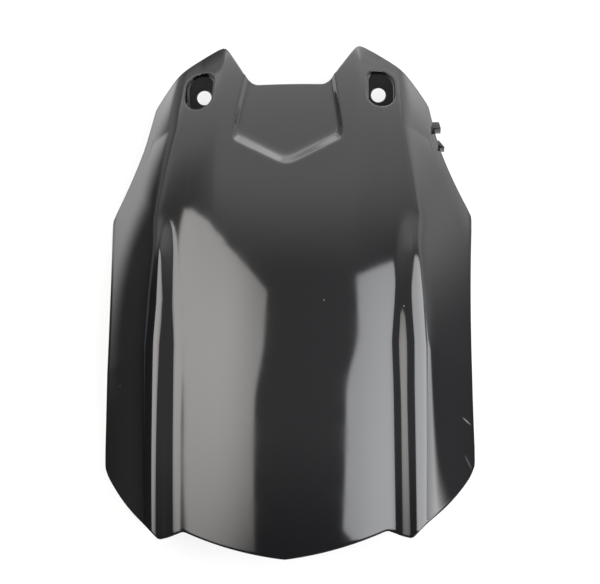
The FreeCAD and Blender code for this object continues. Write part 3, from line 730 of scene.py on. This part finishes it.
# painted reflection: glow ahead of the ears, and far off ahead of the recess
across = sums(nodes, "ABSOLUTE", spot.outputs["X"], 0.0)
off_middle = sums(nodes, "SUBTRACT", across, sums(nodes, "MULTIPLY", past_front, 0.6))
ahead = sums(nodes, "MULTIPLY", eased_range(nodes, off_middle, 0.0, 0.04, 0.0, 0.45),
             eased_range(nodes, spot.outputs["Y"], 0.10, 0.18, 0.0, 1.0))
middle = sums(nodes, "MULTIPLY", eased_range(nodes, off_middle, 0.0, 0.04, 1.0, 0.0),
              eased_range(nodes, spot.outputs["Y"], 0.14, 0.60, 0.0, 1.0))
narrow = sums(nodes, "SUBTRACT", across, sums(nodes, "MULTIPLY", past_front, 0.3))
middle = sums(nodes, "MULTIPLY", middle, eased_range(nodes, narrow, -0.01, 0.03, 2.2, 0.8))
# painted reflection: glow near the right softbox, up to a slanting limit
leaning = sums(nodes, "SUBTRACT", spot.outputs["X"], sums(nodes, "MULTIPLY", spot.outputs["Y"], 1.37))
by_box = sums(nodes, "MULTIPLY", eased_range(nodes, leaning, 0.29, 0.335, 0.0, 4.0),
              eased_range(nodes, spot.outputs["X"], 0.115, 0.135, 0.0, 1.0))
by_box = sums(nodes, "MULTIPLY", by_box, eased_range(nodes, spot.outputs["Y"], 0.12, 0.25, 1.0, 0.0))
lit = sums(nodes, "ADD", sums(nodes, "MULTIPLY", beside, along), sums(nodes, "ADD", ahead, middle))
lit = sums(nodes, "ADD", lit, by_box)
# the table glows to glossy rays only: painted reflections of lit table, though the table is no lamp; to the
# camera it shows an even white
in_gloss = sums(nodes, "MULTIPLY", path.outputs["Is Glossy Ray"], lit)
seen = sums(nodes, "MULTIPLY", path.outputs["Is Camera Ray"], 0.78)
glow = wire(nodes, "ShaderNodeEmission", Strength=sums(nodes, "ADD", seen, in_gloss))
# painted shade in reflections: the table's colour is 0.17 to other rays and darker, 0.05, to glossy rays
paper_dimmed_in_gloss = wire(nodes, "ShaderNodeMix", i0=path.outputs["Is Glossy Ray"])
paper_dimmed_in_gloss.data_type = "RGBA"
paper_dimmed_in_gloss.inputs[6].default_value = (0.17, 0.17, 0.17, 1)
paper_dimmed_in_gloss.inputs[7].default_value = (0.05, 0.05, 0.05, 1)
matt = wire(nodes, "ShaderNodeBsdfDiffuse", Color=paper_dimmed_in_gloss.outputs[2])
both = wire(nodes, "ShaderNodeAddShader", i0=matt.outputs[0], i1=glow.outputs[0])
wire(nodes, "ShaderNodeOutputMaterial", Surface=both.outputs[0])
table.materials.append(white)

world = bpy.data.worlds.new("studio")
bpy.context.scene.world = world
world.use_nodes = True
nodes = world.node_tree
nodes.nodes.clear()
path = nodes.nodes.new("ShaderNodeLightPath")
way = wire(nodes, "ShaderNodeSeparateXYZ", i0=nodes.nodes.new("ShaderNodeTexCoord").outputs["Generated"])
# the wall in front, dimmer high up on the left
wall = sums(nodes, "MULTIPLY", eased_range(nodes, way.outputs["Y"], 0.40, 0.78, 0.0, 1.5),
            eased_range(nodes, way.outputs["Z"], 0.0, 0.16, 1.1, 1.0))
dim = sums(nodes, "MULTIPLY", eased_range(nodes, way.outputs["X"], -0.58, -0.40, 0.55, 0.0),
           eased_range(nodes, way.outputs["Z"], 0.26, 0.44, 0.0, 1.0))
wall = sums(nodes, "MULTIPLY", wall, sums(nodes, "SUBTRACT", 1.0, dim))
# its corners low down, and the ceiling
sideways = sums(nodes, "ABSOLUTE", way.outputs["X"], 0.0)
low = eased_range(nodes, way.outputs["Z"], 0.02, 0.14, 1.0, 0.0)
corners = sums(nodes, "MULTIPLY", eased_range(nodes, sideways, 0.32, 0.45, 0.0, 0.45),
               eased_range(nodes, sideways, 0.52, 0.63, 1.0, -0.7))
low = sums(nodes, "MULTIPLY", low, eased_range(nodes, way.outputs["Y"], 0.50, 0.72, 0.0, 1.0))
wall = sums(nodes, "ADD", wall, sums(nodes, "MULTIPLY", corners, low))
ceiling = sums(nodes, "MULTIPLY", eased_range(nodes, sideways, 0.30, 0.60, 0.42, 0.0),
               eased_range(nodes, way.outputs["Y"], -0.60, -0.10, 0.0, 1.0))
in_gloss = sums(nodes, "ADD", sums(nodes, "MAXIMUM", sums(nodes, "ADD", wall, ceiling), 0.0), 0.08)
gloss = sums(nodes, "MULTIPLY", path.outputs["Is Glossy Ray"], in_gloss)
plain = sums(nodes, "MULTIPLY", sums(nodes, "SUBTRACT", 1.0, path.outputs["Is Glossy Ray"]), 0.3)
seen = sums(nodes, "MULTIPLY", path.outputs["Is Camera Ray"], 0.7)
bright = sums(nodes, "ADD", sums(nodes, "ADD", gloss, plain), seen)
room = wire(nodes, "ShaderNodeBackground", Strength=bright)
wire(nodes, "ShaderNodeOutputWorld", Surface=room.outputs[0])

# each softbox: its middle, the run of its length to the rear and of its height to the inner side,
# its colour and power, the places of its outer and its inner edge at the front and at the rear,
# where along it is brightest and how fast it fades, where across it dims and down to what share
SOFTBOXES = (
    ("left softbox", (-0.384, -0.18, 0.778), (-0.048, -1.33, -0.15), (0.312, 0.0, 0.829),
     (1.0, 0.965, 0.93), 26.5, (0.02, 0.215), (0.985, 0.877), (0.34, 2.1), (0.42, 0.66)),
    ("right softbox", (0.7625, -0.17, 0.676), (0.0, -1.4, 0.0), (-0.605, 0.0, 1.232),
     (0.97, 0.98, 1.0), 48.0, (0.0, 0.0), (0.88, 0.985), (0.60, 0.6), (0.68, 0.78)),
)
for name, middle, length, height, colour, power, outer, inner, bright, dimming in SOFTBOXES:
    lamp = bpy.data.lights.new(name, "AREA")
    lamp.shape = "RECTANGLE"
    lamp.size, lamp.size_y = Vector(length).length, Vector(height).length
    lamp.color = colour
    lamp.energy = power
    softbox = bpy.data.objects.new(name, lamp)
    along = Vector(length).normalized()
    back = along.cross(Vector(height)).normalized()
    turned = back.dot(Vector(middle)) < 0
    if turned:
        along, back = -along, -back
    turn = Matrix((along, back.cross(along), back)).transposed()
    softbox.matrix_world = Matrix.LocRotScale(Vector(middle), turn, None)
    bpy.context.collection.objects.link(softbox)
    lamp.use_nodes = True
    nodes = lamp.node_tree
    cloth = wire(nodes, "ShaderNodeSeparateXYZ",
                 i0=nodes.nodes.new("ShaderNodeNewGeometry").outputs["Parametric"])
    rearward = sums(nodes, "SUBTRACT", 1.0, cloth.outputs["X"]) if turned else cloth.outputs["X"]
    inward = cloth.outputs["Y"]
    outer_edge = eased_range(nodes, rearward, 0.0, 0.5, *outer)
    inner_edge = eased_range(nodes, rearward, 0.2, 0.45, *inner)
    past_outer = sums(nodes, "SUBTRACT", inward, outer_edge)
    short_of_inner = sums(nodes, "SUBTRACT", inner_edge, inward)
    within = sums(nodes, "MULTIPLY", eased_range(nodes, past_outer, -0.012, 0.012, 0.0, 1.0),
                  eased_range(nodes, short_of_inner, -0.015, 0.015, 0.0, 1.0))
    from_bright = sums(nodes, "SUBTRACT", rearward, bright[0])
    squared = sums(nodes, "MULTIPLY", from_bright, from_bright)
    fade = sums(nodes, "SUBTRACT", 1.0, sums(nodes, "MULTIPLY", squared, bright[1]))
    fade = sums(nodes, "MULTIPLY", fade, eased_range(nodes, inward, dimming[0], 0.95, 1.0, dimming[1]))
    nodes.nodes["Emission"].inputs["Color"].default_value = (1.0, 1.0, 1.0, 1.0)
    nodes.links.new(sums(nodes, "MULTIPLY", fade, within), nodes.nodes["Emission"].inputs["Strength"])

# Camera
# It stands high behind the rear tip and looks down on the fender.

PITCH, LATERAL, ROLL = math.radians(67.3), math.radians(2.5), math.radians(-0.65)
DISTANCE = 1.0
TARGET = Vector((0.0074, -0.0088, 0.040))
back = Vector((math.sin(LATERAL), -math.cos(PITCH) * math.cos(LATERAL),
               math.sin(PITCH) * math.cos(LATERAL)))
right = Vector((0, math.sin(PITCH), math.cos(PITCH))).cross(back).normalized()
up = back.cross(right)
right, up = (math.cos(ROLL) * right + math.sin(ROLL) * up, math.cos(ROLL) * up - math.sin(ROLL) * right)
place = TARGET + back * DISTANCE
lens = bpy.data.cameras.new("camera")
lens.sensor_width = 36.0
lens.lens = 102.4
camera = bpy.data.objects.new("camera", lens)
camera.matrix_world = Matrix(((right.x, up.x, back.x, place.x), (right.y, up.y, back.y, place.y),
                              (right.z, up.z, back.z, place.z), (0, 0, 0, 1)))
bpy.context.collection.objects.link(camera)
bpy.context.scene.camera = camera
bpy.context.scene.view_settings.view_transform = "Standard"
